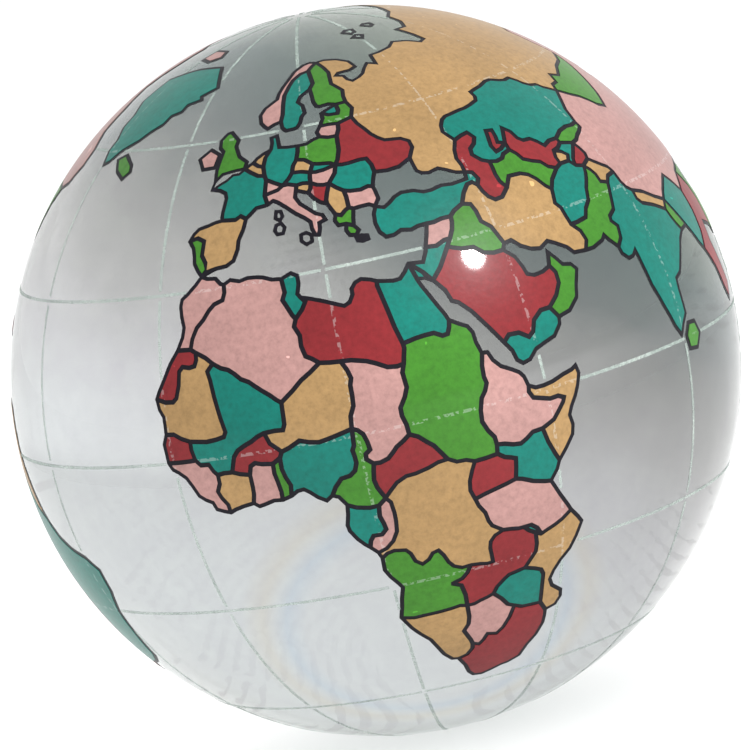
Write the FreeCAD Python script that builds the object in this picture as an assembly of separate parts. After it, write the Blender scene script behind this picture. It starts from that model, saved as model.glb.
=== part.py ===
import FreeCAD
import Part
import math
import os

from FreeCAD import Vector

# A clear squeeze ball, printed on the outside with a political map of the world.
# Frame: origin at the ball's centre, +Z through the north end of the printed
# latitude and longitude lines, -Y through their prime meridian, millimetres.

BALL_RADIUS = 31.5
REST_FLAT_RADIUS = 2.9
INK_THICKNESS = 0.06
GRID_THICKNESS = 0.03
BORDER_WIDTH = 0.40
COAST_OUTSIDE = 0.16
GRID_WIDTH = 0.27
GRID_GAP = 0.05

# The latitude and longitude lines.
MERIDIAN_STEP = 30.0
PARALLELS = (-51.0, -25.5, 0.0, 25.5, 51.0)
NORTH_END = 88.0
SOUTH_END = 84.0
SAMPLE_STEP = 0.75
SHORTEST_GRID_PIECE = 2.0
SAMPLES_PER_ARC = 6

# The map's own pole is tipped away from the pole of the grid lines.
MAP_TURN = -2.0
MAP_TILT = 10.5
MAP_HEADING = -12.0

SMALLEST_FILL = 0.12
INK_COLOURS = ("teal", "green", "sand", "pink", "red")


# ---------------------------------------------------------------- geography
# One drawn landmass is a net of borders. A place is a corner where borders
# meet. A border runs from place to place through latitude,longitude pairs.
# A country is a colour and a point inside it. Faces with no country are sea.

PLACES = {}
BORDERS = {}
COUNTRIES = {}

PLACES["old_world"] = """
tangier 38,-9
oran 36.4,-4.3
tarfaya 27,-13.7
tindouf 27,-11.1
guelta 26.5,-10.2
nouadhibou 19.8,-18.2
taoudenni 24.6,-7.1
kayes 13.2,-12.7
saint_louis 14.4,-17
kedougou 10.3,-12.3
bissau 10,-17.3
odienne 7.8,-8.9
palmas 1.7,-8.2
bobo 8,-6.4
axim 2.8,-4.1
bondoukou 7.3,-3.6
bawku 8.5,0.4
natitingou 9.2,1.7
lome 2.7,0.6
cotonou 3.1,2.1
niamey 10.1,2.2
gao 13.3,0
tessalit 17.4,3.7
toummo 22.1,11
ghat 29.3,8.5
annaba 35.8,7
gabes 32.4,10
tibesti 21.6,14.4
kufra 18.8,24
uweinat 21.7,24.8
sallum 31.9,23.8
lake_chad 11.4,13.6
calabar 2,8.2
garoua 5.5,15.5
birao 8.4,21.8
obo 3,26.4
ouesso -0.2,15.9
bitam -1.1,14.6
libreville 0.1,10
pointe_noire -7.5,11.6
cabinda -8.7,12.6
soyo -9.7,12.9
aru 1.4,30.2
bujumbura -4.4,28.8
lokichogio 1.3,33.9
turkana 2.7,34.2
sirari -3.5,35.7
mombasa -6,41.2
kisimayo -3.4,43.3
mandera 2.4,41.9
djibouti 9.4,41.8
massawa 16.6,36.4
halaib 22.9,33.2
kasaba -10.9,31.9
mwinilunga -15,25.8
katima -22.4,23.8
kazungula -21.7,28.4
beitbridge -25.5,31.6
pafuri -26.9,36.3
feira -18.9,34.3
karonga -11.7,35.3
nsanje -13.4,37
mandimba -14,37.9
rovuma -12,43.6
maputo -28.9,37.2
kunene -21.4,12.9
orange -33.6,20.2
aroab -30.9,23.3
suez 30.3,30.6
gaza 33,30.1
aqaba 29.3,33.1
beirut 34.5,34.2
latakia 37.9,36.3
cizre 37.6,41.3
hakkari 38.7,44.7
rutba 34.4,39.1
turaif 33.4,38
kuwait 29.6,47.2
abadan 30.4,48
jizan 16.8,40.4
salalah 16.9,51
rub 18.8,50.1
doha 24.4,53.6
istanbul 43.3,28.3
batumi 42.2,46.9
sochi 43.2,49.2
astara 40.4,49.9
gorgan 38,55.1
kara_bogaz 42.9,55.7
astrakhan 48.7,52.5
nukus 43,61.8
aral 44.3,62.3
tashkent 40.5,70
bishkek 40.3,74.3
osh 39.4,74
kashgar 38.1,76.9
almaty 40.1,83.3
termez 36.6,68
kunduz 36.8,69.6
khorog 36.4,71.9
wakhan 35.2,72.5
khujand 39,70.8
peshawar 34.4,74.2
karakoram 34.8,76.6
herat 34.3,63.4
zahedan 28.2,62.1
gwadar 23.7,61.8
shipki 30.7,79.9
amritsar 30.1,76.4
mahakali 26.6,80.8
sikkim 21.8,87.9
siliguri 20.6,86.3
khulna 16.3,87.5
teknaf 16.2,90
putao 23.9,94.3
golden_triangle 19.5,97.5
kawthaung 10.8,92.7
vientiane 21.5,102
haiphong 21.5,108
hatien 10.5,104.5
kutch 21.4,68.7
altai 45.3,90
hulun 45.8,117
vladivostok 43,131.5
tumen 42.3,130.3
yalu 40,124.3
rostov 49,40.3
odessa 48.9,31.2
constanta 46.6,29.5
vidin 47.4,23.1
szeged 49.3,20.4
uzhgorod 52.2,23.2
salonika 44.4,23
kavala 44,23.9
corinth 41.3,22.9
patras 41.9,21.5
ohrid 43.9,19.9
kotor 46,18.8
pula 48.6,15.3
trieste 49.5,12.6
villach 50.4,12.9
graz 50.2,16.3
brno 52.1,16.7
ostrava 53.5,17.8
passau 52.8,12.3
dresden 55,13.9
szczecin 57.6,14.9
chur 50.9,9.6
basel 52.5,5.6
aosta 49.8,5.1
nice 48.1,5.7
trier 53.3,5.2
aachen 55,4.9
hague 56.1,2
emden 58,7.1
dover 55.2,-0.3
lands_end 53.5,-8.3
brest 52.2,-8.7
cerbere 46.4,0.6
irun 46.7,-5.2
porto 43.8,-12.5
gdansk 58.2,21.5
hrodna 57.4,26.2
riga 60.2,22.5
daugavpils 59.7,28
tallinn 62.8,24.4
narva 63.7,30.2
vyborg 63.5,33.8
pskov 60.1,32.7
hanko 64.3,24.8
tornio 68.8,23.7
kiruna 73.5,26.8
vardo 75.1,33.6
oslo 63.2,10.7
"""

BORDERS["old_world"] = """
tangier 37.6,-7.7 37.5,-6 36.6,-5 oran
oran 35.1,-4.2 34,-4.6 33.5,-6.3 32.6,-7.4 31.3,-8.5 30.2,-9.8 28.6,-10.7 tindouf
tangier 36.8,-10.2 35.5,-11.8 34.7,-13 33.6,-13.2 32,-12.9 30.4,-12.4 28.9,-12.7 tarfaya
tarfaya tindouf
tindouf guelta
guelta 25.4,-10.1 24.5,-10.5 24.3,-11.5 24.5,-12.8 23.8,-13.5 21.8,-13.7 19.9,-14.3 19.3,-15 \
19.3,-16.5 nouadhibou
tarfaya 25.1,-15.2 23,-16.4 20.8,-17.7 nouadhibou
guelta 25.6,-8.4 taoudenni
taoudenni 23.5,-8.2 22.1,-7.8 19.6,-7.4 16.4,-6.8 14.2,-6.3 13.5,-6.7 13.2,-8.1 13,-9.8 kayes
nouadhibou 18.2,-17.8 17.1,-17.1 15.6,-17 saint_louis
saint_louis 14.4,-15.5 13.7,-14.2 kayes
kayes 11.9,-12.7 kedougou
saint_louis 12.9,-17.6 11.3,-17.4 bissau
bissau 10.1,-15 10.2,-13.4 kedougou
kedougou 9.5,-11.5 9.5,-10.1 8.4,-9.5 odienne
bissau 9,-16.7 8.4,-15.6 7.6,-14.5 6.3,-13.7 4.7,-12.9 4,-11.9 3.5,-10.8 2.4,-10.4 2,-9.3 palmas
odienne 6.4,-8.9 5.2,-9.5 4.2,-9.1 3,-8.3 palmas
odienne 8,-7.8 bobo
bobo 7.6,-5.2 bondoukou
bobo 10.3,-5.6 11.2,-4.8 11.8,-3.6 12.3,-2.3 12.9,-1.2 gao
gao 13.4,1.8 13.3,3.1 14.1,3.5 15.5,3.6 tessalit
gao 11.6,0.6 10.7,1.6 niamey
bondoukou 5.4,-3.6 4.2,-3.7 axim
palmas 2.1,-7.3 2.5,-5.8 axim
bondoukou 8.6,-3.2 9,-2.4 8.7,-1.4 bawku
bawku natitingou
natitingou niamey
bawku 7,0.3 5.8,0.5 4.1,0.7 lome
natitingou 7.5,1.6 6.1,1.9 4.8,2.4 cotonou
axim 2.2,-3.3 2.4,-2.3 2.8,-0.8 lome
lome cotonou
cotonou 3.7,3.2 3.8,4.2 3.2,5 2.2,6 1.4,7.2 calabar
niamey 10.5,3.5 11.3,5.3 10.8,6.7 10.5,8.2 10.7,9.7 11,11.4 lake_chad
calabar 3.2,9 4.35,10.2 4.5,11.6 5.1,12.5 6.2,13 7.2,13 8.2,12.9 8.9,13.3 lake_chad
calabar 1.6,9.1 libreville
lake_chad 11,14.4 10.2,15.1 8.9,15.4 7.7,15.5 7.2,14.7 6.4,14.6 garoua
lake_chad 13.3,13.9 14.7,14.7 16.2,14.9 17.8,15 18.8,15.4 20.1,15.1 tibesti
toummo 21.8,12.7 tibesti
tibesti 21.4,16.1 20.7,18.4 20,19.8 19,21.4 18.7,22.9 kufra
toummo 22.9,10 23.5,9 25.1,8.6 26.7,8.7 28.2,8 ghat
ghat 30,8 31.4,7.3 32.5,6.7 33.6,7.3 annaba
ghat 30.5,9.9 31.6,10.7 gabes
annaba 36.4,8.9 35.8,10.1 34.5,10.1 33,9.6 gabes
oran 37,-3 36.6,-1.1 36.9,0.5 36.8,2.2 36.6,3.5 36,5.2 annaba
taoudenni 23.8,-5.7 23.4,-4.4 22.7,-3.4 21.8,-2.4 21.2,-1.1 20.3,0 19.6,0.9 18.8,2 17.9,3 tessalit
tessalit 18.8,5.8 20.1,7.5 21,9.2 toummo
gabes 31.8,11.9 31,14 30.2,15.8 29.6,17.2 29.9,18.2 30.9,19 31.8,19.1 32.6,20 32.9,21.2 32.4,22.8 sallum
sallum 31.2,23.6 29.4,23.8 26.7,24.1 24.5,24.3 uweinat
uweinat 21,24.8 19.7,24.3 kufra
sallum 31.6,25 31.2,26.6 31.2,27.8 32,29 gaza
kufra 17.6,23.4 16.5,23.4 15.3,23.4 14,22.7 12.6,21.6 11.4,21.5 9.9,21.8 birao
birao 7.7,20.7 7.1,19.5 6.4,18.7 5.7,17.8 5.4,16.5 garoua
birao 7.7,23 6.6,24 5.7,24.9 4.3,25.7 obo
obo 2.2,27.6 2,29 aru
aru 1.3,32 lokichogio
garoua 4.4,15.2 3,14.9 1.7,15.1 ouesso
ouesso 0.7,16.9 1.7,18.1 2.3,19.7 2.3,21.2 2.6,23.3 3,24.9 obo
libreville -0.6,11.3 -1.1,13.2 bitam
bitam ouesso
bitam -2.8,14.3 -4.1,14.6 -5.1,14.7 -5.8,13.9 -5.7,12.6 -6.4,12 pointe_noire
libreville -1.5,9.7 -3.1,9.2 -4.1,9.3 -5.7,10.1 -6.9,11 pointe_noire
pointe_noire cabinda
ouesso -1,16.5 -2.8,16.6 -4.2,16.5 -5.9,16.2 -7.3,15.3 -8.3,14 cabinda
cabinda soyo
soyo -9.1,13.8 -8.9,15 -9.3,16.7 -10.1,17.3 -11.6,17.7 -12.4,18.6 -11.9,19.7 -11,20.5 -10.8,21.5 \
-11.9,22.1 -13.4,22.6 -14.3,23.2 -15,24.4 mwinilunga
mwinilunga -16.2,25 -17,24 -17.4,22.2 -18.2,23.6 -20.2,23.9 katima
soyo -11.9,12.7 -13.4,13.3 -14.7,14.1 -15.7,14.6 -17.8,13.9 -19.1,13.6 -20.7,13.1 kunene
kunene -22,14.9 -22,16.5 -22.1,18.8 -22.1,21 -22,22.6 katima
katima -22.5,25 -22.2,26.1 -22,27.3 kazungula
kazungula -20.6,29.2 -19.6,30.6 -19.1,31.5 -19,33 feira
feira -17.7,35.5 -16.7,36.5 -15.4,36.9 nsanje
nsanje -12.6,36 karonga
kasaba -11.2,33.2 -11.6,34.4 karonga
karonga -11.8,36.5 -12.7,37.4 mandimba
mandimba nsanje
mandimba -13.7,39 -13.4,40.4 -12.9,41.9 rovuma
kasaba -11.3,30.5 -12.1,29.6 -13.2,29.3 -14.6,29.3 -15.7,29.3 -15.7,28.4 -15.3,27.2 mwinilunga
kasaba -9.6,30.4 -8.6,30 -7.1,29.8 -5.7,29.1 bujumbura
bujumbura -2.8,28.4 -1.3,28.7 0.1,29.4 aru
bujumbura -4.1,30.5 -3.9,32.3 -3.7,34.3 sirari
lokichogio 0.4,34.9 0,35.8 -0.4,36.5 -1.7,36.2 sirari
lokichogio turkana
turkana 2.4,35.4 1.8,36.7 1.5,37.9 1.9,39 2.5,40.2 mandera
massawa 14.8,35.7 13.1,35.4 12.1,35.5 11.1,34.9 10.2,34 8.5,33.3 6.8,33 5.2,33.5 3.9,34.2 turkana
sirari -3.9,36.7 -4.9,38.3 -5.7,40.2 mombasa
kisimayo -4.6,42.6 mombasa
mandera 0.1,42.2 -2,42.8 kisimayo
djibouti 8.5,41.5 7.4,41.9 6.8,43.2 6.2,44.5 6.1,45.9 5.5,46.8 4.9,46.4 3.8,45.1 3,44.1 mandera
djibouti 8.7,42.8 8.5,44.2 8.5,45.8 8.8,47.8 8.9,49.6 9.2,50.5 7.9,50.6 6.4,49.8 5,48.8 3.7,47.6 \
2.6,46.9 1,47 -0.4,46.5 -2,44.9 kisimayo
mombasa -8.7,42.2 -11,43.2 rovuma
rovuma -13.6,44.6 -14.8,45.2 -16.9,43.9 -18.7,42.5 -20.1,40.6 -21.6,39.2 -22.9,38.4 -24.3,38.7 \
-26,40.3 -27.3,40.2 -28.6,39.1 maputo
maputo pafuri
pafuri -25.8,36.5 -23.4,36.9 -21.4,37.3 -20.4,37 -19.7,35.9 feira
pafuri -26.6,34.6 -26.3,32.9 beitbridge
beitbridge -24.8,30.5 -23.2,29.6 kazungula
beitbridge -27.6,30.5 -29.4,29.1 -30.3,27.8 -29.7,26.2 -30.8,25.3 -31.5,24.4 aroab
aroab -29.9,23.1 -27.5,22.3 -26.3,23.3 -24.8,23.7 katima
aroab -32,23.1 -33.2,21.9 orange
kunene -24,14 -25.6,15 -27.5,16.4 -29.1,17 -31.6,17.9 -33.3,19.1 orange
orange -35.8,21.1 -38,21.5 -39.2,22.3 -39.6,23.9 -39.2,25.9 -38.7,27.9 -38.6,29.5 -37.9,31.8 \
-35.7,33.4 -33.9,35.3 -31.7,36.7 -30,37.1 maputo
halaib 21.9,34.5 21.1,35.7 19.9,36.2 18.4,36.1 massawa
massawa 16.4,37.3 15,37.7 13.7,38.6 12.7,40 11.8,41.1 10.9,41.6 djibouti
uweinat 21.9,27 21.9,28.6 21.8,30.1 21,31.3 21,32.2 21.9,32.8 halaib
halaib 24,32.9 25.5,32.3 27.6,31.5 29.2,30.9 suez
suez gaza
suez 30.1,31.9 aqaba
gaza 31,32 aqaba
gaza 32.5,32.7 33.9,33.9 beirut
beirut 36.2,35.3 latakia
beirut 34.1,36.2 34.5,38 rutba
rutba 35.6,40.3 36.7,41 cizre
rutba turaif
aqaba 30.8,35.2 32.4,36.9 turaif
latakia 37.7,37.8 37.8,39.3 cizre
cizre 38.2,42.5 hakkari
latakia 38,34.6 37.8,33.1 38.3,31.3 37.9,29.7 38,28.1 39.1,27.2 40.7,27 42.2,27.4 istanbul
istanbul 42.7,29.9 43.1,31.2 43.8,32.8 44.1,34.5 43.7,37.1 42.9,38.9 42.7,40.6 42.8,43 42.3,45.2 batumi
batumi 42.1,48.6 sochi
sochi 42.6,50.6 41.3,50.9 astara
astara 41.2,49.2 41.2,48 40.2,46.3 hakkari
turaif 32.9,38.9 32.3,40.2 31.8,42.4 30.4,43.7 29.8,45.3 kuwait
kuwait abadan
hakkari 38.1,46.2 36.8,46.4 35,46.2 33.6,47.4 32,47.7 abadan
aqaba 27.3,34.4 25.4,34.8 24.9,35.7 23,37.2 20,38.8 jizan
jizan 17.6,41.6 17.3,43.3 16.1,44.7 16.6,45.7 18.1,46.6 19,48.4 rub
rub salalah
jizan 15.2,41.2 13.6,41.4 12.8,42.2 12.9,43.5 14,45.1 14.3,46.8 14.6,48.9 15.9,50.6 salalah
rub 20,52.2 21.5,53.7 23.1,54.1 doha
doha 26.4,54.7 25,55.5 23.7,56.1 23.1,57.6 22,58.2 20,56.6 18.3,55.6 17,53.3 salalah
kuwait 27.9,48.6 26.1,49 24.8,49.1 24.2,50.2 24.1,51.9 doha
abadan 30.4,49.5 29,50.6 27.9,52.1 27.3,53.8 27.8,55.8 27,56.9 25.5,58.7 24.3,59.4 gwadar
astara 39.1,50 38,50.4 37.1,51.3 37,52.9 gorgan
gorgan 39.4,57.1 38.9,59.7 38.1,61.1 36.9,62 35.2,62.7 herat
herat 32.2,61.9 31.2,62.4 29.7,62.2 zahedan
zahedan 26.6,63.1 25,63.1 gwadar
zahedan 28,63.6 27.9,65.9 29,67.2 29.8,69 31.4,70.5 32.6,72.3 33.4,73.3 peshawar
herat 35.5,65 termez
gwadar 23.4,63.6 23.6,66.2 24.1,67.2 23.1,67.6 kutch
kutch 20.2,68.6 19,69.5 18.9,70.7 19.4,71.8 17.1,71.6 13.5,71.4 10,72 5.9,72.9 4,73.8 5.4,75.3 \
6.4,76.8 10.2,77.6 11.7,78.2 12,80 13.8,82.5 15.6,85.2 khulna
kutch 22.3,70.3 24,71.3 25.2,70.6 25.9,71 26.4,72.9 28.5,74.8 amritsar
sochi 44.4,49.6 45.8,49.6 47.2,50.6 astrakhan
astrakhan 48.9,54.6 48.9,56.6 47.6,57.1 46.7,55.8 46.2,54.1 45.2,53.4 43.7,54.4 kara_bogaz
kara_bogaz 41.8,55.3 40.7,54.8 39.4,54.6 gorgan
kara_bogaz 42.4,57.2 42.4,58.8 42.9,59.8 nukus
nukus 41.9,62.5 40.6,62.8 39.6,64.3 38.8,65.8 37.5,66.5 termez
nukus aral
aral 43.8,60.3 43.8,58.8 45,58.8 46.5,60 47.6,60.9 47.2,62.3 46,61.7 45,60.9 aral
aral 46.6,65 45.4,65.9 43.9,65.9 43.1,66.6 42.7,68.4 41.7,69.3 tashkent
tashkent 40.7,72 bishkek
bishkek osh
osh 38.8,75.4 kashgar
bishkek 40.8,76.9 40.7,79.5 40.2,81.5 almaty
almaty 39.1,83.1 38.7,81.5 38.5,80 38.1,78.6 kashgar
osh 39,72.5 khujand
khujand 38,69.9 kunduz
termez kunduz
kunduz khorog
khujand 38.2,72.3 37.2,73 khorog
khorog wakhan
kashgar 37,74.8 36.2,73.3 wakhan
wakhan peshawar
kashgar 37,77.2 35.7,77.3 karakoram
karakoram peshawar
karakoram 34,77.3 32.8,78.5 31.8,79.6 shipki
shipki 30.8,77.7 amritsar
peshawar 33.3,74.9 32.2,75.2 30.9,74.9 amritsar
shipki 28.8,79.6 27.6,79.9 mahakali
mahakali 25.3,83.2 23.4,85.5 sikkim
mahakali 25.2,80.3 24.1,80.9 22.5,83.7 siliguri
sikkim siliguri
siliguri 19.2,86.4 17.7,86.8 khulna
khulna teknaf
teknaf 18.8,89 sikkim
sikkim 22.7,89.8 23.7,93.2 putao
putao 21.8,96 golden_triangle
golden_triangle 16,96.8 13,95.2 kawthaung
teknaf 14,91 12,91.8 kawthaung
golden_triangle vientiane
vientiane haiphong
vientiane 18,104.5 15,105.5 hatien
kawthaung 7,94.5 3,95.5 0.5,97 2.5,99.5 7,98.5 10,98 13,99.5 11.5,102.5 hatien
hatien 9,105.5 11,109 15,109 19,106 haiphong
haiphong 21.5,110.5 23,116.5 27,120.5 31,122 34.5,119.5 37.3,122 38.5,117.8 40.5,121 39,121.7 yalu
yalu 41.5,127 tumen
yalu 37.7,125.6 34.5,126.5 35.2,129.2 37.5,129.2 39.5,127.6 tumen
tumen vladivostok
altai 44,87.5 42.5,85 almaty
astrakhan 49.7,52 50.9,51.5 52,52.4 52.9,54 53.2,55.5 53.1,57.4 53,60 52.8,62 52.8,64.2 52.9,66.7 \
53.5,67.7 54.6,68.2 54.6,70.2 54.5,72.5 54.6,75.8 54.3,77.6 53.2,79.5 52.6,81 52.4,83 51,84 \
50.1,84.3 49.1,85.3 48.4,87.2 47.3,87.8 46.2,89 altai
altai 43.2,92.3 41.7,94.3 40.2,95.6 38.6,96.7 37.3,98.8 39,103 41.5,108 43.5,113 hulun
altai 46.3,91.5 46,94 47.4,96 46,98.5 46.5,104 45.8,110 hulun
hulun 49.5,117.5 53,121 53,126 48,131 48,135 vladivostok
rostov 50.6,42.4 51.9,42.7 52.9,41.2 53.3,39.4 53.7,37.4 54.6,36.1 55.7,35 56.8,34.4 58.5,33.2 pskov
rostov 47.9,40.1 46.6,40 45.9,40.8 45.5,42.2 45.6,44.6 44.8,46 43.8,47.5 sochi
odessa 48.4,34 48.3,37 rostov
odessa 50.3,31.3 51.6,30.8 51.8,29.2 51.8,26.4 51.9,24.7 uzhgorod
odessa 47.8,30.3 constanta
constanta 46.9,28.5 46.7,26.7 47,24.5 vidin
constanta 45.9,29.6 44.4,29.6 istanbul
kavala 44,25.4 43.9,27.2 istanbul
kavala salonika
vidin 46.3,23.2 45.3,23.1 salonika
vidin 48.2,21.8 szeged
szeged 49.7,20.9 50.8,22.4 uzhgorod
szeged 47.8,19.4 46.6,18.8 kotor
kotor 45,19.3 ohrid
ohrid 43.5,21 44.1,22.1 salonika
ohrid 42.9,19.4 42,19.9 patras
patras corinth
corinth 42.6,23.3 kavala
corinth 40.4,23.6 39.7,22.8 40,21.5 40.9,21.1 patras
szeged 49.3,19.1 49.6,17.7 graz
graz 49.3,16 pula
pula 47.4,16.3 46.5,17.5 kotor
trieste pula
trieste villach
villach 50.5,14.5 graz
graz 51.2,16.4 brno
brno 51.9,18 51.9,20 uzhgorod
brno ostrava
ostrava 53.2,19.3 52.8,22 uzhgorod
brno 52.6,14.6 passau
passau 54,12.8 dresden
dresden 54.6,16 ostrava
dresden 56.4,14.6 szczecin
passau 51.9,11.3 chur
chur 50.9,11 villach
chur 51.6,7.8 basel
chur 50.3,8.3 50.1,6.8 aosta
basel aosta
aosta nice
basel trier
trier aachen
aachen 56.6,5.5 emden
trier 53.5,3.5 54.3,1.6 dover
hague 55.3,3.5 aachen
dover 55.7,0.9 hague
hague 56.8,3.1 57.5,5 emden
nice 48.6,7 48.2,8 47.1,9.7 45.7,11.6 44.6,13.4 43.7,14.5 42.6,14.5 41.5,14.9 41.3,15.7 42.3,16.2 \
43.2,16.3 43.5,17.7 44.4,17.3 44.9,16 46,14.6 47.1,13.1 48.4,12.2 trieste
emden 59.2,7.5 60.3,7.3 60.5,9.2 59.3,9.5 58.1,9.7 57.8,12 szczecin
szczecin 57.5,17.3 58,19.5 gdansk
gdansk 57.6,23.8 hrodna
gdansk 59.2,21.1 riga
riga 60.1,25.1 daugavpils
daugavpils 58.5,27.4 hrodna
hrodna 54.7,25.3 53.1,24.2 uzhgorod
daugavpils pskov
riga 61.6,24.2 tallinn
tallinn 63.3,27.2 narva
tallinn 62,26.4 61.7,29.3 62.3,30 narva
narva vyborg
vyborg 61.8,34.5 pskov
hanko 64.3,27.9 narva
hanko 64.6,23.7 65.8,23.2 67.2,23.5 tornio
tornio 70,26 71.8,26.4 kiruna
kiruna 74.2,29 vardo
vardo 73.1,35 71.4,35.4 68.5,33.1 67.3,34.4 66.2,35.4 64.8,34.2 vyborg
tornio 68.3,21.5 67.7,19.2 66.6,17.8 65.6,19.2 63.9,19.3 63.2,17.9 62.1,17.1 61.2,15.8 61.1,14.4 \
61.1,12 61.9,10.9 oslo
oslo 64.6,11.5 67.2,12.1 68.9,12.8 70.9,15.4 72.2,17.8 73.3,22.2 kiruna
oslo 62.9,8.3 62.3,6.1 62.9,4.9 63.7,3.7 65.4,3.1 66.8,4.7 67.6,7 68.4,9.6 69.6,10.3 71,12.2 \
72.7,15.6 74.4,19.5 75.5,25.5 75.7,30 vardo
vardo 75,38.1 73.9,44.2 72.2,47.9 70.4,47.9 70.1,44.4 70.5,38.9 70,37 69.3,39.8 68.2,40 67.4,41.3 \
67.7,45 68.1,47.3 69.1,50.1 69.9,53.5 68.8,56 71.2,59.5 70.8,64 70.5,71 71,76.5 69.3,81 67.3,83.4 \
67.2,87 69.5,89.5 72,92 71,97 71.8,105 73.5,113 72.5,125 72,140 70,160 68.5,178 66,190 62.5,178 \
60,164 51,157 57,156 61,160 59.5,150 54,137 47,139 vladivostok
irun 47.9,-5.2 49,-4.9 50.4,-4.6 51.3,-5 51.9,-6.6 brest
brest 53,-7 53.6,-5.2 54.5,-3.5 54.5,-1.8 dover
lands_end 54.7,-6.5 55,-4 dover
brest lands_end
lands_end 55.5,-8.6 57.5,-8.2 59,-7.8 59.8,-9.2 61.3,-9.7 62.6,-8 62.8,-6.5 61.8,-4.7 61,-3.4 \
59.8,-3.8 59,-3.2 57.7,-2.2 56.5,0.2 dover
irun 46.6,-3.7 46.5,-1.9 47,-0.7 cerbere
cerbere 47.2,1.9 47.9,3 48,4.5 nice
cerbere 44.8,0 43,-1.1 41.6,-1.3 39.9,-2.2 39.2,-3.7 39,-6 tangier
porto 44.9,-11.7 45.7,-10.6 46.1,-8.5 46.5,-6.8 irun
porto 44.2,-10.6 43.6,-9 41.3,-9.2 40.1,-8.3 39,-7.9 tangier
porto 42.6,-11.4 41.4,-11 40.1,-10.8 38.9,-9.9 tangier
"""

COUNTRIES["old_world"] = """
region africa
sand 17,-12 mauritania
pink 33,-9 morocco
red 25.6,-13 western_sahara
pink 29,0 algeria
teal 34.5,8.7 tunisia
red 27,15 libya
teal 27,28 egypt
teal 30.8,31.6 sinai
green 14,29 sudan
pink 15,18 chad
sand 17,9 niger
teal 18,-2 mali
red 12,-16 senegal
pink 7,-12 guinea
sand 5,-6 ivory_coast
pink 5,-1.5 ghana
green 5,1.4 togo
red 10,-2 burkina_faso
teal 7,7 nigeria
green 3,13 cameroon
red 4,19 central_africa
teal -3,12 gabon
pink -3,15.6 congo
sand -5,22 congo_basin
red -1,33 uganda
teal -1,40 kenya
pink 8,38 ethiopia
sand 4,46.8 somalia
pink -8,36 tanzania
green -16,19 angola
red -14,33 zambia
teal -12.8,36.7 malawi
sand -18,40 mozambique
teal -22,33 zimbabwe
pink -25,27 botswana
sand -27,19 namibia
red -33,30 south_africa
region asia
teal 40,35 turkey
pink 36,38 syria
teal 32,34 jordan
green 34,43 iraq
red 24,44 arabia
teal 15,43 yemen
green 21,55.5 oman
sand 33,54 iran
red 44,51.5 caspian
green 39,62 turkmenistan
red 41,66 uzbekistan
red 44.6,60.2 aral
teal 49,70 kazakhstan
green 39.5,79 kyrgyzstan
sand 37.6,71.4 tajikistan
teal 37.7,74.2 pamir
red 36,75.5 hindu_kush
sand 33,76.2 kashmir
teal 32,67 afghanistan
green 28,70 pakistan
teal 20,78 india
sand 24.3,82.5 nepal
green 18.3,87.7 bangladesh
teal 19,93 myanmar
pink 33,95 china
green 44,100 mongolia
sand 60,60 russia
red 15,100 thailand
green 17,106.5 vietnam
sand 38.5,127 korea
region europe
red 53,30 ukraine
teal 49.5,27 romania
pink 45.5,27 bulgaria
sand 46.5,21.5 serbia
green 43,22 greece
green 40.7,22.3 morea
red 48,18 croatia
sand 49.6,14.3 slovenia
teal 51.5,14 austria
pink 50.9,19.5 hungary
sand 53.5,15 czechia
teal 52.6,20 slovakia
green 55.5,20 poland
teal 55,9.5 germany
pink 51,7 switzerland
pink 49,10 italy
teal 50,0 france
sand 54.9,2.9 belgium
sand 56.5,3.5 holland
green 57,-5 britain
sand 43,-5 spain
green 41.5,-10.2 portugal
pink 59,24.5 lithuania
green 60.7,29 latvia
teal 62.6,27.5 estonia
green 67,29 finland
teal 66,14 sweden
pink 65,8 norway
"""

PLACES["new_world"] = """
alaska_north 69,-141
alaska_south 59,-137
vancouver 49,-125
quebec 46,-76
san_diego 33,-119
brownsville 27,-99
tapachula 15,-95
belize 17.5,-89
darien_north 8.5,-77.5
darien_south 6.5,-79
guajira 11,-71
ipiales 0,-79.5
napo -2,-75
leticia -5,-70
cucuy 0,-68
tumbes -5,-81
acre -12,-70
arica -20,-71
corumba -20,-58
zapaleri -24,-68
pilcomayo -23,-62
iguazu -27,-55
ushuaia -55,-68
montevideo -35,-56
quarai -30,-57.5
chuy -33.5,-52
oyapock -4,-56
"""

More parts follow.
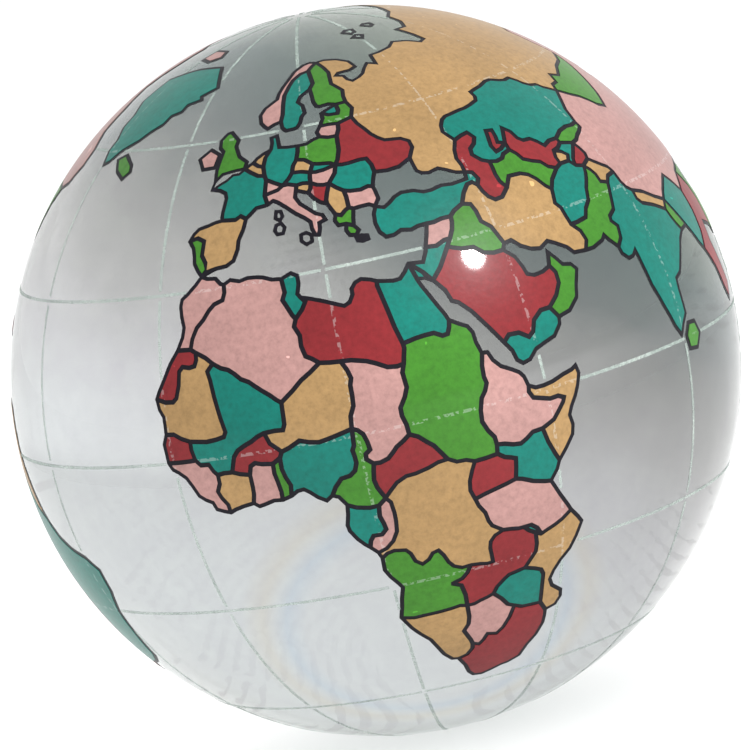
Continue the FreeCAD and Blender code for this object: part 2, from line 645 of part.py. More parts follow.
BORDERS["new_world"] = """
alaska_north 61,-141 alaska_south
alaska_south 56,-131 vancouver
alaska_south 60,-150 56,-163 62,-166 67,-163 71,-156 alaska_north
alaska_north 70,-125 73,-112 70,-100 64,-95 61,-84 57,-79 55,-72 52,-70 48,-72 quebec
vancouver 49,-95 45,-84 quebec
quebec 42,-79 37,-81 32,-85 26,-85 30,-91 brownsville
brownsville 31,-108 san_diego
vancouver 41,-127 san_diego
san_diego 24,-112 20,-106 tapachula
brownsville 20,-98 19,-94 21,-90 belize
belize tapachula
belize 15.5,-84 10,-84 darien_north
tapachula 12,-88 8,-84 darien_south
darien_north darien_south
darien_north 10,-75 guajira
darien_south 2,-80 ipiales
ipiales napo
napo leticia
tumbes napo
ipiales -3,-81 tumbes
guajira 6,-71 2,-70 cucuy
cucuy leticia
leticia acre
tumbes -14,-77 arica
acre arica
acre -13,-62 corumba
arica zapaleri
zapaleri pilcomayo
pilcomayo corumba
corumba iguazu
pilcomayo -27,-58 iguazu
zapaleri -33,-71 -45,-73 -52,-71 ushuaia
arica -30,-73.5 -42,-77 -52,-76 ushuaia
ushuaia -48,-66 -41,-63 -37,-58 montevideo
montevideo -31,-58.5 quarai
quarai iguazu
quarai chuy
montevideo -36,-54 chuy
chuy -31,-46 -28.9,-43.6 -23,-42.7 -18.6,-42.5 -13.8,-40.6 -9.9,-40.8 -8.2,-44 -7.6,-48 -6.4,-52 oyapock
guajira 10.5,-68 5,-65 0,-60 oyapock
cucuy -1,-64 -3,-60 oyapock
"""

COUNTRIES["new_world"] = """
region america
pink 63,-115 canada
green 64,-152 alaska
green 40,-105 united_states
sand 22,-102 mexico
red 12,-86 central_america
sand 4,-74 colombia
red -2.3,-78 ecuador
green -10,-75 peru
sand 4,-67.2 venezuela
teal -12,-52 brazil
pink -17,-65 bolivia
red -24,-58.5 paraguay
sand -33,-65 argentina
red -32,-72.3 chile
pink -32.8,-55.5 uruguay
"""

ISLANDS = """
greenland teal arctic 55.5,-54 54.7,-56 57,-59.5 59.1,-60.2 61,-64.5 63.5,-66.3 65.5,-73 70.6,-77 \
75.8,-62.5 78,-42 73.1,-26 71,-32 70.2,-30 68.8,-36 67.3,-36 66.2,-40 64.4,-40.5 62.5,-44 \
60.5,-46.5 58,-51.5
iceland green arctic 56.5,-50 57.8,-47 56.4,-41.4 55.2,-40 53.7,-41.7 54.7,-46.3
ireland pink europe 58,-15.2 59.7,-12.2 58.6,-8.8 56.2,-9.4 56,-13.1
svalbard_west open arctic 79.5,76 79.6,82 78.7,85 77.9,81 78,76.5
svalbard_east open arctic 77.6,94 77.5,98 76.6,100 76,97 76.2,93.5
svalbard_south open arctic 77.1,71 77.2,76 76.2,77.5 75.7,73.5
corsica open europe 46.7,7.5 46.6,8.5 45.7,8.8 45.1,8.1 45.6,7.2
sardinia open europe 44.4,7.2 44.6,8.3 43.8,9 42.9,8.5 42.9,7.3 43.6,6.8
sicily open europe 42,12.1 42.2,13.2 41.6,14.2 40.6,14.1 40.3,12.9 41,12
crete black europe 39.4,22.6 39.5,23.7 39.2,24.8 38.6,24.8 38.5,23.6 38.8,22.7
sri_lanka green asia 4.9,76.6 4.4,78.5 2.2,79 0.5,77.2 1.2,75 3.4,75
cuba red america 23,-84 22.7,-78 20.8,-75 20.3,-76.5 22,-82
ellesmere pink arctic 77.5,-68 79.6,-62 80.8,-72 79,-86 76.6,-80
australia pink pacific -12,131 -12,136 -17,140 -11,143 -19,147 -28,153 -38,149 -38,141 -32,133 \
-35,118 -31,115 -22,114 -18,122 -14,127
new_guinea sand pacific -1,132 -3,142 -10,150 -9,142 -7,138
borneo green pacific 7,117 1,118 -4,115 1,109
japan red pacific 32,131 34,136 36,141 43,143 41,139 36,135
new_zealand green pacific -35,173 -38,178 -46,171 -46,167 -40,172
"""


# ---------------------------------------------------------------- sphere kit
def on_map(latitude, longitude):
    """Unit vector of a place on the map, in the ball's frame."""
    lat = math.radians(latitude)
    lon = math.radians(longitude)
    ring = math.cos(lat)
    point = Vector(ring * math.cos(lon), ring * math.sin(lon), math.sin(lat))
    point = turned_about_z(point, MAP_TURN)
    tilt = math.radians(MAP_TILT)
    point = Vector(
        point.x * math.cos(tilt) + point.z * math.sin(tilt),
        point.y,
        point.z * math.cos(tilt) - point.x * math.sin(tilt),
    )
    point = turned_about_z(point, MAP_HEADING)
    return Vector(point.y, -point.x, point.z)


def turned_about_z(point, degrees):
    angle = math.radians(degrees)
    cos = math.cos(angle)
    sin = math.sin(angle)
    return Vector(point.x * cos - point.y * sin, point.x * sin + point.y * cos, point.z)


def on_grid(latitude, longitude):
    """Unit vector of a place on the printed latitude and longitude lines."""
    lat = math.radians(latitude)
    lon = math.radians(longitude)
    ring = math.cos(lat)
    return Vector(ring * math.sin(lon), -ring * math.cos(lon), math.sin(lat))


def unit(vector):
    return vector / vector.Length


def middle(points):
    total = Vector(0, 0, 0)
    for point in points:
        total = total + point
    return unit(total)


def turn_at(before, at, after):
    """Signed angle between the way in and the way out, left positive."""
    way_in = before.cross(at)
    way_out = at.cross(after)
    return math.atan2(at.dot(way_in.cross(way_out)), way_in.dot(way_out))


def area_on_left(loop):
    """Area in steradians of the region on the left of a closed loop."""
    total = 2.0 * math.pi
    for i, at in enumerate(loop):
        before = loop[i - 1]
        after = loop[(i + 1) % len(loop)]
        if (before - after).Length < 1e-9:
            total = total + math.pi
        else:
            total = total - turn_at(before, at, after)
    return total


def winding(loop, point):
    """Signed angle the loop sweeps round a point."""
    total = 0.0
    flat = []
    for corner in loop:
        flat.append(corner - point * corner.dot(point))
    for i, start in enumerate(flat):
        end = flat[(i + 1) % len(flat)]
        total = total + math.atan2(point.dot(start.cross(end)), start.dot(end))
    return total


def is_inside(loop, point):
    """True when a point near the loop lies on its left."""
    return winding(loop, point) > math.pi


# ---------------------------------------------------------------- border net
def read_net(name):
    """Places, neighbours of every corner and the country seeds of a landmass."""
    corners = {}
    for line in PLACES[name].split("\n"):
        words = line.split()
        if words:
            corners[words[0]] = words[1]
    points = []
    number = {}
    links = set()
    for line in BORDERS[name].split("\n"):
        words = line.split()
        chain = []
        for word in words:
            text = corners.get(word, word)
            if text not in number:
                number[text] = len(points)
                latitude, longitude = text.split(",")
                points.append(on_map(float(latitude), float(longitude)))
            chain.append(number[text])
        for start, end in zip(chain, chain[1:]):
            links.add((start, end))
            links.add((end, start))
    return points, links


def net_loops(points, links):
    """Closed loops of the net, each with its region on the left."""
    fans = {}
    for start, end in links:
        fans.setdefault(start, []).append(end)
    for at, fan in fans.items():
        up = points[at]
        east = unit(Vector(0.31, 0.17, 0.93).cross(up))
        north = up.cross(east)
        fan.sort(key=lambda k: math.atan2(points[k].dot(north), points[k].dot(east)))
    unused = set(links)
    loops = []
    for first in sorted(links):
        if first not in unused:
            continue
        loop = []
        edge = first
        while edge in unused:
            unused.discard(edge)
            loop.append(edge[0])
            fan = fans[edge[1]]
            edge = (edge[1], fan[fan.index(edge[0]) - 1])
        loops.append([points[k] for k in loop])
    return loops


def moved_corner(before, at, after, distance):
    """The corner of a loop after both its sides move to the left."""
    side_in = unit(before.cross(at))
    side_out = unit(at.cross(after))
    turn = turn_at(before, at, after)
    if side_in.dot(side_out) > 0.9995:
        return [unit(at + unit(side_in + side_out) * math.tan(distance))]
    if turn < -2.2:
        spread = math.tan(distance)
        ends = [
            unit(at + side_in * spread),
            unit(at + side_out * spread),
        ]
        if side_in.dot(side_out) < -0.8:
            ends.insert(1, unit(at + unit(side_in.cross(at)) * -spread))
        return ends
    lean = math.sin(distance) / (1.0 + side_in.dot(side_out))
    base = (side_in + side_out) * lean
    rise = math.sqrt(max(0.0, 1.0 - base.dot(base)))
    return [unit(base + at * rise)]


def moved_loop(loop, distance):
    """The loop moved to its left. Sides that would turn round are closed up."""
    loop = list(loop)
    while len(loop) > 2:
        count = len(loop)
        fans = []
        for i, at in enumerate(loop):
            fans.append(moved_corner(loop[i - 1], at, loop[(i + 1) % count], distance))
        worst = None
        for i, at in enumerate(loop):
            after = loop[(i + 1) % count]
            moved_side = fans[(i + 1) % count][0] - fans[i][-1]
            if moved_side.dot(after - at) <= 0.0:
                length = (after - at).Length
                if worst is None or length < worst[0]:
                    worst = (length, i)
        if worst is None:
            return [point for fan in fans for point in fan]
        i = worst[1]
        j = (i + 1) % count
        loop[i] = unit(loop[i] + loop[j])
        del loop[j]
    return []


# ---------------------------------------------------------------- ink films
def sphere_surface(radius, centre, axis):
    """A sphere whose seam and poles stay clear of the region to be covered."""
    surface = Part.Sphere()
    surface.Radius = radius
    x = unit(axis.cross(centre).cross(axis)) * -1.0
    y = axis.cross(x)
    surface.transform(FreeCAD.Matrix(
        x.x, y.x, axis.x, 0,
        x.y, y.y, axis.y, 0,
        x.z, y.z, axis.z, 0,
        0, 0, 0, 1,
    ))
    return surface


def arcs_round(loop, radius):
    edges = []
    for start, end in zip(loop, loop[1:] + loop[:1]):
        halfway = unit(start + end)
        edges.append(Part.Arc(start * radius, halfway * radius, end * radius).toShape())
    return edges


def film(loop, holes, low, high, centre=None, axis=None):
    """A thin solid on the ball inside one loop and outside the holes."""
    if centre is None:
        centre = middle(loop)
        axis = unit(centre.cross(Vector(0.3, 0.2, 0.9)))
    loops = [loop] + holes
    rings = {}
    faces = []
    for radius in (low, high):
        rings[radius] = [arcs_round(each, radius) for each in loops]
        wires = [Part.Wire(each) for each in rings[radius]]
        surface = sphere_surface(radius, centre, axis)
        face = Part.Face(surface, wires[0])
        face.validate()
        if holes:
            cutters = []
            for wire in wires[1:]:
                cutter = Part.Face(surface, wire)
                cutter.validate()
                cutters.append(cutter)
            face = face.cut(cutters).Faces[0]
        faces.append(face)
    for k, each in enumerate(loops):
        ends = each[1:] + each[:1]
        for start, end, under, over in zip(each, ends, rings[low][k], rings[high][k]):
            up = Part.LineSegment(end * low, end * high).toShape()
            down = Part.LineSegment(start * high, start * low).toShape()
            faces.append(Part.Face(Part.Wire([under, up, over, down])))
    shell = Part.makeShell(faces)
    shell.sewShape()
    solid = Part.makeSolid(shell)
    if solid.Volume < 0:
        solid.reverse()
    return solid


def fitted_film(loop, distance, low, high):
    """A film inside a loop, kept clear of the keyline where the loop allows it."""
    for share in (1.0, 0.8, 0.6, 0.4):
        inner = moved_loop(loop, distance * share)
        if len(inner) < 3 or area_on_left(inner) < math.radians(1.0) ** 2 * SMALLEST_FILL:
            continue
        if area_on_left(inner) > area_on_left(loop):
            continue
        try:
            solid = film(inner, [], low, high)
        except (Part.OCCError, RuntimeError, ValueError):
            continue
        expected = area_on_left(inner) * low * low * (high - low)
        if solid.isValid() and abs(solid.Volume / expected - 1.0) < 0.05:
            return solid
    return None


# ---------------------------------------------------------------- build
def clear_ball():
    """The soft ball, with the small flat that its own weight presses into it."""
    flat_height = math.sqrt(BALL_RADIUS ** 2 - REST_FLAT_RADIUS ** 2)
    ball = Part.makeSphere(BALL_RADIUS)
    below = Part.makeBox(20.0, 20.0, 20.0, Vector(-10.0, -10.0, -20.0 - flat_height))
    return ball.cut(below)


MIDDLE_RADIUS = BALL_RADIUS + 0.5 * INK_THICKNESS
TOP_RADIUS = BALL_RADIUS + INK_THICKNESS
HALF_LINE = 0.5 * BORDER_WIDTH / BALL_RADIUS
OUTSIDE = COAST_OUTSIDE / BALL_RADIUS
nodes = {"clear_ball": [clear_ball()]}
silhouettes = []
open_seas = []


def sea_hole(loop):
    """The opening for an enclosed sea, drawn in from the shore where it is wide."""
    surface = sphere_surface(BALL_RADIUS, on_map(0, 80), on_map(90, 0))
    for share in (1.0, 0.5):
        hole = moved_loop(loop, OUTSIDE * share)
        if len(hole) < 3:
            continue
        face = Part.Face(surface, Part.Wire(arcs_round(hole, BALL_RADIUS)))
        face.validate()
        if abs(face.Area / (area_on_left(hole) * BALL_RADIUS ** 2) - 1.0) < 1e-6:
            return hole
    return list(loop)


def add_net(name, centre_longitude):
    points, links = read_net(name)
    loops = sorted(net_loops(points, links), key=area_on_left)
    outer = loops.pop()
    seeds = []
    region = name
    for line in COUNTRIES[name].split("\n"):
        words = line.split()
        if words and words[0] == "region":
            region = words[1]
        elif words:
            latitude, longitude = words[1].split(",")
            seeds.append((on_map(float(latitude), float(longitude)), words[0], region, words[2]))
    shore = moved_loop(outer, OUTSIDE)
    shore.reverse()
    holes = []
    for loop in loops:
        found = [seed for seed in seeds if is_inside(loop, seed[0])]
        if found:
            seed = found[0]
            solid = fitted_film(loop, HALF_LINE, MIDDLE_RADIUS, TOP_RADIUS)
            if solid:
                nodes.setdefault("ink_" + seed[1] + "_" + seed[2], []).append(solid)
            else:
                print("no fill", seed[3])
        elif area_on_left(loop) > math.radians(1.0) ** 2 * 2.0:
            print("sea", round(area_on_left(loop) / math.radians(1.0) ** 2, 1))
            hole = sea_hole(loop)
            hole.reverse()
            holes.append(hole)
            open_seas.append(loop)
    silhouettes.append(shore)
    axis = on_map(90, 0)
    centre = on_map(0, centre_longitude)
    solid = film(shore, holes, BALL_RADIUS, MIDDLE_RADIUS, centre, axis)
    print(name, solid.isValid(), solid.Volume, len(shore), len(loops))
    nodes["keyline_" + name] = [solid]


def add_islands():
    outlines = []
    for line in ISLANDS.split("\n"):
        words = line.split()
        if not words:
            continue
        loop = []
        for word in words[3:]:
            latitude, longitude = word.split(",")
            loop.append(on_map(float(latitude), float(longitude)))
        if area_on_left(loop) > 2.0 * math.pi:
            loop.reverse()
        backwards = list(reversed(loop))
        shore = moved_loop(backwards, OUTSIDE)
        shore.reverse()
        silhouettes.append(shore)
        holes = []
        if words[1] == "open":
            hole = moved_loop(loop, OUTSIDE)
            hole.reverse()
            holes.append(hole)
            open_seas.append(loop)
        outlines.append(film(shore, holes, BALL_RADIUS, MIDDLE_RADIUS))
        if words[1] not in INK_COLOURS:
            continue
        solid = fitted_film(loop, HALF_LINE, MIDDLE_RADIUS, TOP_RADIUS)
        if solid:
            nodes.setdefault("ink_" + words[1] + "_" + words[2], []).append(solid)
    nodes["keyline_islands"] = outlines


def is_printed(point):
    """True where a landmass covers the ball."""
    for loop in open_seas:
        if is_inside(loop, point):
            return False
    for loop, centre, reach in caps:
        if point.dot(centre) > reach and is_inside(loop, point):
            return True
    return False


def grid_strip(centres, sideways):
    """A thin strip of grid ink along a row of points on the ball."""
    half = 0.5 * GRID_WIDTH / BALL_RADIUS
    right = [unit(point + side * half) for point, side in zip(centres, sideways)]
    left = [unit(point - side * half) for point, side in zip(centres, sideways)]
    left.reverse()
    loop = right + left
    if area_on_left(loop) > 2.0 * math.pi:
        loop.reverse()
    return film(loop, [], BALL_RADIUS, BALL_RADIUS + GRID_THICKNESS)


def add_grid_line(name, samples, breaks):
    """Strips along one grid line, left out under the map and at the breaks."""
    run = []
    runs = []
    for at, point, side in samples:
        near_break = any(abs(at - stop) < 0.5 * SAMPLE_STEP for stop in breaks)
        if near_break or is_printed(point):
            runs.append(run)
            run = []
        else:
            run.append((point, side))
    runs.append(run)
    pieces = nodes.setdefault(name, [])
    for run in runs:
        if len(run) * SAMPLE_STEP < SHORTEST_GRID_PIECE:
            continue
        chosen = run[:-1:SAMPLES_PER_ARC] + [run[-1]]
        pieces.append(grid_strip([each[0] for each in chosen], [each[1] for each in chosen]))


def add_grid():
    count = int(round(360.0 / MERIDIAN_STEP))
    steps = int(round((NORTH_END + SOUTH_END) / SAMPLE_STEP))
    for k in range(count):
        longitude = k * MERIDIAN_STEP
        east = on_grid(0, longitude + 90.0)
        samples = []
        for i in range(steps + 1):
            latitude = -SOUTH_END + i * SAMPLE_STEP
            samples.append((latitude, on_grid(latitude, longitude), east))
        add_grid_line("grid_meridians", samples, PARALLELS)
    for latitude in PARALLELS:
        samples = []
        for i in range(int(round(360.0 / SAMPLE_STEP))):
            longitude = i * SAMPLE_STEP
            point = on_grid(latitude, longitude)
            north = unit(Vector(0, 0, 1) - point * point.z)
            samples.append((longitude, point, north))
        add_grid_line("grid_parallels", samples, ())


add_net("old_world", 80)
add_net("new_world", -100)
add_islands()
caps = []
for loop in silhouettes:
    centre = middle(loop)
    caps.append((loop, centre, min(point.dot(centre) for point in loop)))
add_grid()

os.makedirs("parts", exist_ok=True)
for name, solids in nodes.items():
    shape = solids[0] if len(solids) == 1 else Part.makeCompound(solids)
    shape.exportStep("parts/" + name + ".step")
    print(name, len(solids), shape.isValid(), round(shape.Volume, 3))
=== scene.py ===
import math

import bpy
from mathutils import Matrix, Vector

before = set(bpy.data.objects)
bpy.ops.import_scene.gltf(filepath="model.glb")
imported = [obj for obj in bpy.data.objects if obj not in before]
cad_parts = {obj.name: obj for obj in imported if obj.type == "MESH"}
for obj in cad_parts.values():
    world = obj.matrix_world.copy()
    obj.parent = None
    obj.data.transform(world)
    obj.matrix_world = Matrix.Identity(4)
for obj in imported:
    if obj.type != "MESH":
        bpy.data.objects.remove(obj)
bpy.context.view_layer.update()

# Sizes in metres and angles in degrees, in the row's own frame.
RADIUS = 0.0315
VIEW_LATITUDE = 8.9
VIEW_LONGITUDE = 4.7
VIEW_ROLL = -12.1
VIEW_DISTANCE = 20.0 * RADIUS
LENS_MM = 350.3
SHIFT_X = -0.0011
SHIFT_Y = -0.0057
SENSOR_MM = 36.0

# The printed grid, as it shows in relief through the ink, with a painted glint along its ridges.
MERIDIAN_STEP = 30.0
PARALLEL_STEP = 25.5
GRID_HALF_WIDTH = 0.0045
# Colour of the painted glint on the grid ridges.
RIDGE_GLINT_TONE = (0.80, 0.84, 0.82)

# Lamps: distance and disc size in metres, power in watts.
KEY_DISTANCE = 0.6
KEY_SIZE = 0.07
KEY_POWER = 3.2
FILL_DISTANCE = 0.8
FILL_SIZE = 0.5
FILL_POWER = 1.0
HALF_FLOOR = 6.0


TEAL = (0.000, 0.125, 0.098)
GREEN = (0.034, 0.150, 0.012)
SAND = (0.285, 0.175, 0.072)
PINK = (0.325, 0.180, 0.165)
RED = (0.165, 0.012, 0.015)
BLACK = (0.004, 0.003, 0.007)
PINHOLE_LIGHTEN = 1.9
INKS = {"teal": TEAL, "green": GREEN, "sand": SAND, "pink": PINK, "red": RED}


def view_axes():
    """Right, up and backward directions of the main view."""
    lat = math.radians(VIEW_LATITUDE)
    lon = math.radians(VIEW_LONGITUDE)
    back = Vector((math.cos(lat) * math.sin(lon), -math.cos(lat) * math.cos(lon), math.sin(lat)))
    right = Vector((0.0, 0.0, 1.0)).cross(back).normalized()
    up = back.cross(right)
    cos = math.cos(math.radians(VIEW_ROLL))
    sin = math.sin(math.radians(VIEW_ROLL))
    return cos * right + sin * up, cos * up - sin * right, back


RIGHT, UP, BACK = view_axes()


def toward(right, up, back):
    return (RIGHT * right + UP * up + BACK * back).normalized()


# ---------------------------------------------------------------- materials
class Nodes:
    """Short names for building one material's node tree."""

    def __init__(self, name):
        self.material = bpy.data.materials.new(name)
        self.material.use_nodes = True
        self.tree = self.material.node_tree
        self.shader = self.tree.nodes["Principled BSDF"]
        self.output = self.tree.nodes["Material Output"]

    def add(self, kind, **values):
        node = self.tree.nodes.new(kind)
        for key, value in values.items():
            setattr(node, key, value)
        return node

    def link(self, source, target):
        self.tree.links.new(source, target)

    def place(self):
        return self.add("ShaderNodeTexCoord").outputs["Object"]

    def noise(self, scale, detail=4.0, roughness=0.55):
        node = self.add("ShaderNodeTexNoise")
        self.link(self.place(), node.inputs["Vector"])
        node.inputs["Scale"].default_value = scale
        node.inputs["Detail"].default_value = detail
        node.inputs["Roughness"].default_value = roughness
        return node.outputs["Fac"]

    def ramp(self, source, stops):
        node = self.add("ShaderNodeValToRGB")
        self.link(source, node.inputs["Fac"])
        elements = node.color_ramp.elements
        while len(elements) < len(stops):
            elements.new(0.5)
        for element, (position, colour) in zip(elements, stops):
            element.position = position
            element.color = (*colour, 1.0)
        return node.outputs["Color"]

    def math(self, operation, a, b=0.0, c=0.0):
        node = self.add("ShaderNodeMath", operation=operation)
        for socket, value in zip(node.inputs, (a, b, c)):
            if isinstance(value, (int, float)):
                socket.default_value = value
            else:
                self.link(value, socket)
        return node.outputs[0]

    def mix(self, factor, a, b, blend="MIX"):
        node = self.add("ShaderNodeMix", data_type="RGBA", blend_type=blend)
        for socket, value in ((node.inputs[0], factor), (node.inputs[6], a), (node.inputs[7], b)):
            if isinstance(value, (int, float)):
                socket.default_value = value
            elif isinstance(value, tuple):
                socket.default_value = (*value, 1.0)
            else:
                self.link(value, socket)
        return node.outputs[2]

    def dot(self, direction):
        """Position along a direction, in ball radii."""
        node = self.add("ShaderNodeVectorMath", operation="DOT_PRODUCT")
        self.link(self.place(), node.inputs[0])
        node.inputs[1].default_value = direction / RADIUS
        return node.outputs["Value"]

    def bump(self, height, strength, distance):
        node = self.add("ShaderNodeBump")
        node.inputs["Strength"].default_value = strength
        node.inputs["Distance"].default_value = distance
        self.link(height, node.inputs["Height"])
        self.link(node.outputs["Normal"], self.shader.inputs["Normal"])


def scaled(colour, factor):
    return tuple(min(1.0, channel * factor) for channel in colour)


def grid_relief(kit):
    """Dotted ridges where the grid lines pass under the ink, from 0 to 1."""
    x = kit.dot(Vector((1.0, 0.0, 0.0)))
    y = kit.dot(Vector((0.0, -1.0, 0.0)))
    z = kit.dot(Vector((0.0, 0.0, 1.0)))
    longitude = kit.math("ARCTAN2", x, y)
    from_meridian = kit.math("PINGPONG", longitude, 0.5 * math.radians(MERIDIAN_STEP))
    from_parallel = kit.math("PINGPONG", kit.math("ARCSINE", z), 0.5 * math.radians(PARALLEL_STEP))
    on_meridian = kit.math("LESS_THAN", from_meridian, GRID_HALF_WIDTH)
    on_parallel = kit.math("LESS_THAN", from_parallel, GRID_HALF_WIDTH)
    line = kit.math("MAXIMUM", on_meridian, on_parallel)
    dots = kit.math("GREATER_THAN", kit.noise(2600.0, 2.0), 0.52)
    return kit.math("MULTIPLY", line, dots)


def ink(name, colour, pale):
    """Printed ink: uneven density, pinholes, a few specks, a pebbled gloss and a painted glint
    along the grid ridges.
    """
    kit = Nodes(name)
    cloud = kit.ramp(kit.noise(90.0, 6.0, 0.6), [
        (0.30, scaled(colour, 0.86)),
        (0.52, colour),
        (0.74, scaled(colour, 1.14)),
    ])
    grain = kit.ramp(kit.noise(1900.0, 3.0, 0.7), [
        (0.30, (0.80, 0.80, 0.80)),
        (0.50, (1.0, 1.0, 1.0)),
        (0.70, (1.16, 1.16, 1.16)),
    ])
    base = kit.mix(0.8, cloud, grain, "MULTIPLY")
    pinhole = kit.math("GREATER_THAN", kit.noise(760.0, 1.0), 0.795)
    base = kit.mix(pinhole, base, pale)
    relief = grid_relief(kit)
    # Painted highlight: the ink is lightened in dots along the grid ridges, as glints on the
    # ridges would show.
    base = kit.mix(kit.math("MULTIPLY", relief, 0.12), base, RIDGE_GLINT_TONE)
    kit.link(base, kit.shader.inputs["Base Color"])
    kit.shader.inputs["Roughness"].default_value = 0.38
    kit.shader.inputs["Specular IOR Level"].default_value = 0.14
    kit.shader.inputs["Coat Weight"].default_value = 0.18
    kit.shader.inputs["Coat Roughness"].default_value = 0.07
    height = kit.math("ADD", kit.math("MULTIPLY", relief, 0.5), kit.noise(1500.0, 3.0))
    kit.bump(height, 0.22, 0.00006)
    return kit.material


def keyline():
    """Black key ink with slightly ragged density."""
    kit = Nodes("black_key_ink")
    tone = kit.ramp(kit.noise(1400.0, 4.0, 0.65), [
        (0.35, scaled(BLACK, 0.6)),
        (0.60, BLACK),
        (0.78, scaled(BLACK, 2.6)),
    ])
    kit.link(tone, kit.shader.inputs["Base Color"])
    kit.shader.inputs["Roughness"].default_value = 0.42
    kit.shader.inputs["Specular IOR Level"].default_value = 0.18
    kit.bump(kit.noise(1700.0, 3.0), 0.25, 0.00005)
    return kit.material


def grid_ink():
    """Frosted ink for the grid lines: pale, broken and half see-through."""
    kit = Nodes("frosted_grid_ink")
    tone = kit.ramp(kit.noise(240.0, 5.0, 0.6), [
        (0.30, (0.26, 0.32, 0.29)),
        (0.55, (0.36, 0.43, 0.39)),
        (0.75, (0.50, 0.56, 0.52)),
    ])
    kit.link(tone, kit.shader.inputs["Base Color"])
    cover = kit.ramp(kit.noise(2200.0, 3.0, 0.7), [
        (0.30, (0.18, 0.18, 0.18)),
        (0.62, (0.52, 0.52, 0.52)),
    ])
    kit.link(cover, kit.shader.inputs["Alpha"])
    kit.shader.inputs["Roughness"].default_value = 0.65
    kit.bump(kit.noise(1500.0, 2.0), 0.3, 0.00004)
    return kit.material


def clear_ball():
    """Clear elastomer, polished. Its colour carries painted light and shade: a painted grey upper
    part for the shaded floor seen through the ball, a painted caustic ring low down and a painted
    darker rim.
    """
    kit = Nodes("clear_elastomer")
    # Painted shade: the ball's colour is painted grey, darker towards the top, in place of the
    # shaded floor and the ball's own shadow seen through it.
    rise = kit.dot(toward(0.342, 0.940, 0.0))
    wobble = kit.math("MULTIPLY_ADD", kit.noise(46.0, 3.0), 0.55, -0.275)
    level = kit.math("ADD", rise, wobble)
    level = kit.math("MULTIPLY_ADD", level, 0.5, 0.5)
    painted_light_and_shade = kit.ramp(level, [
        (0.10, (0.780, 0.840, 0.835)),
        (0.24, (0.720, 0.770, 0.765)),
        (0.38, (0.550, 0.560, 0.570)),
        (0.52, (0.340, 0.345, 0.335)),
        (0.62, (0.200, 0.210, 0.200)),
        (0.70, (0.088, 0.108, 0.106)),
        (0.80, (0.056, 0.086, 0.082)),
        (0.96, (0.190, 0.250, 0.180)),
    ])
    # Painted caustic light: a faint coloured ring low on the front, where light focused through
    # the ball would show.
    painted_caustic_ring = kit.ramp(kit.dot(toward(0.148, -0.680, 0.718)), [
        (0.870, (1.0, 1.0, 1.0)),
        (0.900, (1.0, 0.90, 0.74)),
        (0.912, (1.0, 1.0, 0.96)),
        (0.926, (0.74, 0.86, 1.0)),
        (0.945, (1.0, 1.0, 1.0)),
    ])
    painted_light_and_shade = kit.mix(0.85, painted_light_and_shade, painted_caustic_ring, "MULTIPLY")
    # Painted shade: the colour darkens towards the silhouette, in place of the darker edge a clear
    # ball shows.
    edge = kit.add("ShaderNodeLayerWeight")
    painted_rim_shade = kit.ramp(edge.outputs["Facing"], [
        (0.80, (1.0, 1.0, 1.0)),
        (0.98, (0.42, 0.56, 0.50)),
    ])
    painted_light_and_shade = kit.mix(0.8, painted_light_and_shade, painted_rim_shade, "MULTIPLY")
    grain = kit.ramp(kit.noise(520.0, 5.0, 0.7), [
        (0.35, (0.88, 0.86, 0.90)),
        (0.65, (1.0, 1.0, 1.0)),
    ])
    kit.link(kit.mix(0.7, painted_light_and_shade, grain, "MULTIPLY"), kit.shader.inputs["Base Color"])
    kit.shader.inputs["Roughness"].default_value = 0.015
    kit.shader.inputs["IOR"].default_value = 1.47
    kit.shader.inputs["Transmission Weight"].default_value = 1.0
    outward = kit.add("ShaderNodeVectorMath", operation="NORMALIZE")
    kit.link(kit.place(), outward.inputs[0])
    inside = kit.add("ShaderNodeNewGeometry").outputs["Backfacing"]
    facing = kit.add("ShaderNodeVectorMath", operation="SCALE")
    kit.link(outward.outputs["Vector"], facing.inputs[0])
    kit.link(kit.math("MULTIPLY_ADD", inside, -2.0, 1.0), facing.inputs["Scale"])
    kit.link(facing.outputs["Vector"], kit.shader.inputs["Normal"])
    return kit.material


SHADERS = {"clear": clear_ball(), "keyline": keyline(), "grid": grid_ink()}
for name, colour in INKS.items():
    SHADERS[name] = ink(name + "_ink", colour, scaled(colour, PINHOLE_LIGHTEN))

for name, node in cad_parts.items():
    words = name.split("_")
    kind = words[1] if words[0] == "ink" else words[0]
    node.data.materials.clear()
    node.data.materials.append(SHADERS[kind])
    node.visible_shadow = False
    if kind == "clear":
        node.data.polygons.foreach_set("use_smooth", [True] * len(node.data.polygons))
    else:
        # The rear print is out of focus through the ball and doesn't show.
        node.visible_transmission = False

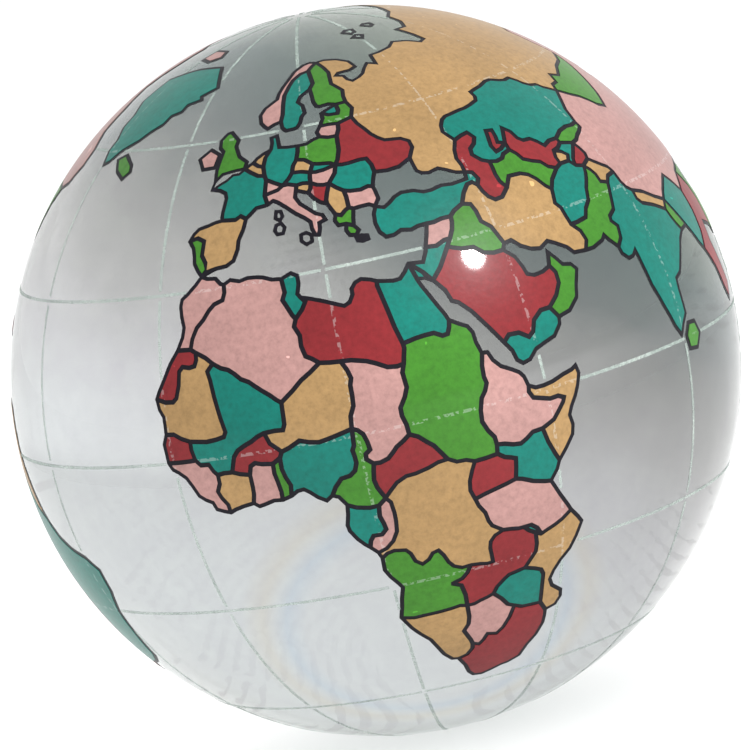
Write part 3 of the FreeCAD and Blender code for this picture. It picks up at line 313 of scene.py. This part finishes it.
# ---------------------------------------------------------------- stage
ground = bpy.data.meshes.new("floor")
ground.from_pydata(
    [(-HALF_FLOOR, -HALF_FLOOR, -RADIUS), (HALF_FLOOR, -HALF_FLOOR, -RADIUS),
     (HALF_FLOOR, HALF_FLOOR, -RADIUS), (-HALF_FLOOR, HALF_FLOOR, -RADIUS)],
    [], [(0, 1, 2, 3)],
)
floor = bpy.data.objects.new("floor", ground)
bpy.context.collection.objects.link(floor)
floor_kit = Nodes("pale_floor")
floor_kit.shader.inputs["Base Color"].default_value = (0.97, 0.97, 0.97, 1.0)
floor_kit.shader.inputs["Roughness"].default_value = 0.8
floor.data.materials.append(floor_kit.material)

world = bpy.data.worlds.new("studio")
bpy.context.scene.world = world
world.use_nodes = True
world.node_tree.nodes["Background"].inputs["Color"].default_value = (1.0, 1.0, 1.0, 1.0)
world.node_tree.nodes["Background"].inputs["Strength"].default_value = 1.0


def area_light(name, direction, distance, size, power):
    data = bpy.data.lights.new(name, "AREA")
    data.shape = "DISK"
    data.size = size
    data.energy = power
    light = bpy.data.objects.new(name, data)
    light.location = direction * distance
    light.rotation_euler = direction.to_track_quat("Z", "Y").to_euler()
    # Keeps the lamp's own disc from showing inside the ball.
    light.visible_transmission = False
    bpy.context.collection.objects.link(light)
    return light


key = area_light("key", toward(0.468, 0.543, 0.697), KEY_DISTANCE, KEY_SIZE, KEY_POWER)
# The key light falls on the print and the floor, not on the ball's inner back wall.
lit = bpy.data.collections.new("lit_by_key")
for name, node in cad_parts.items():
    if name != "clear_ball":
        lit.objects.link(node)
lit.objects.link(floor)
key.light_linking.receiver_collection = lit
fill = area_light("fill", toward(-0.7, 0.3, 0.6), FILL_DISTANCE, FILL_SIZE, FILL_POWER)
fill.visible_glossy = False

camera_data = bpy.data.cameras.new("camera")
camera_data.lens = LENS_MM
camera_data.sensor_width = SENSOR_MM
camera_data.shift_x = SHIFT_X
camera_data.shift_y = SHIFT_Y
camera_data.clip_start = 0.01
camera_data.clip_end = 50.0
camera = bpy.data.objects.new("camera", camera_data)
turn = Matrix((RIGHT, UP, BACK)).transposed().to_4x4()
camera.matrix_world = Matrix.Translation(BACK * VIEW_DISTANCE) @ turn
bpy.context.collection.objects.link(camera)
bpy.context.scene.camera = camera
bpy.context.scene.view_settings.view_transform = "Standard"
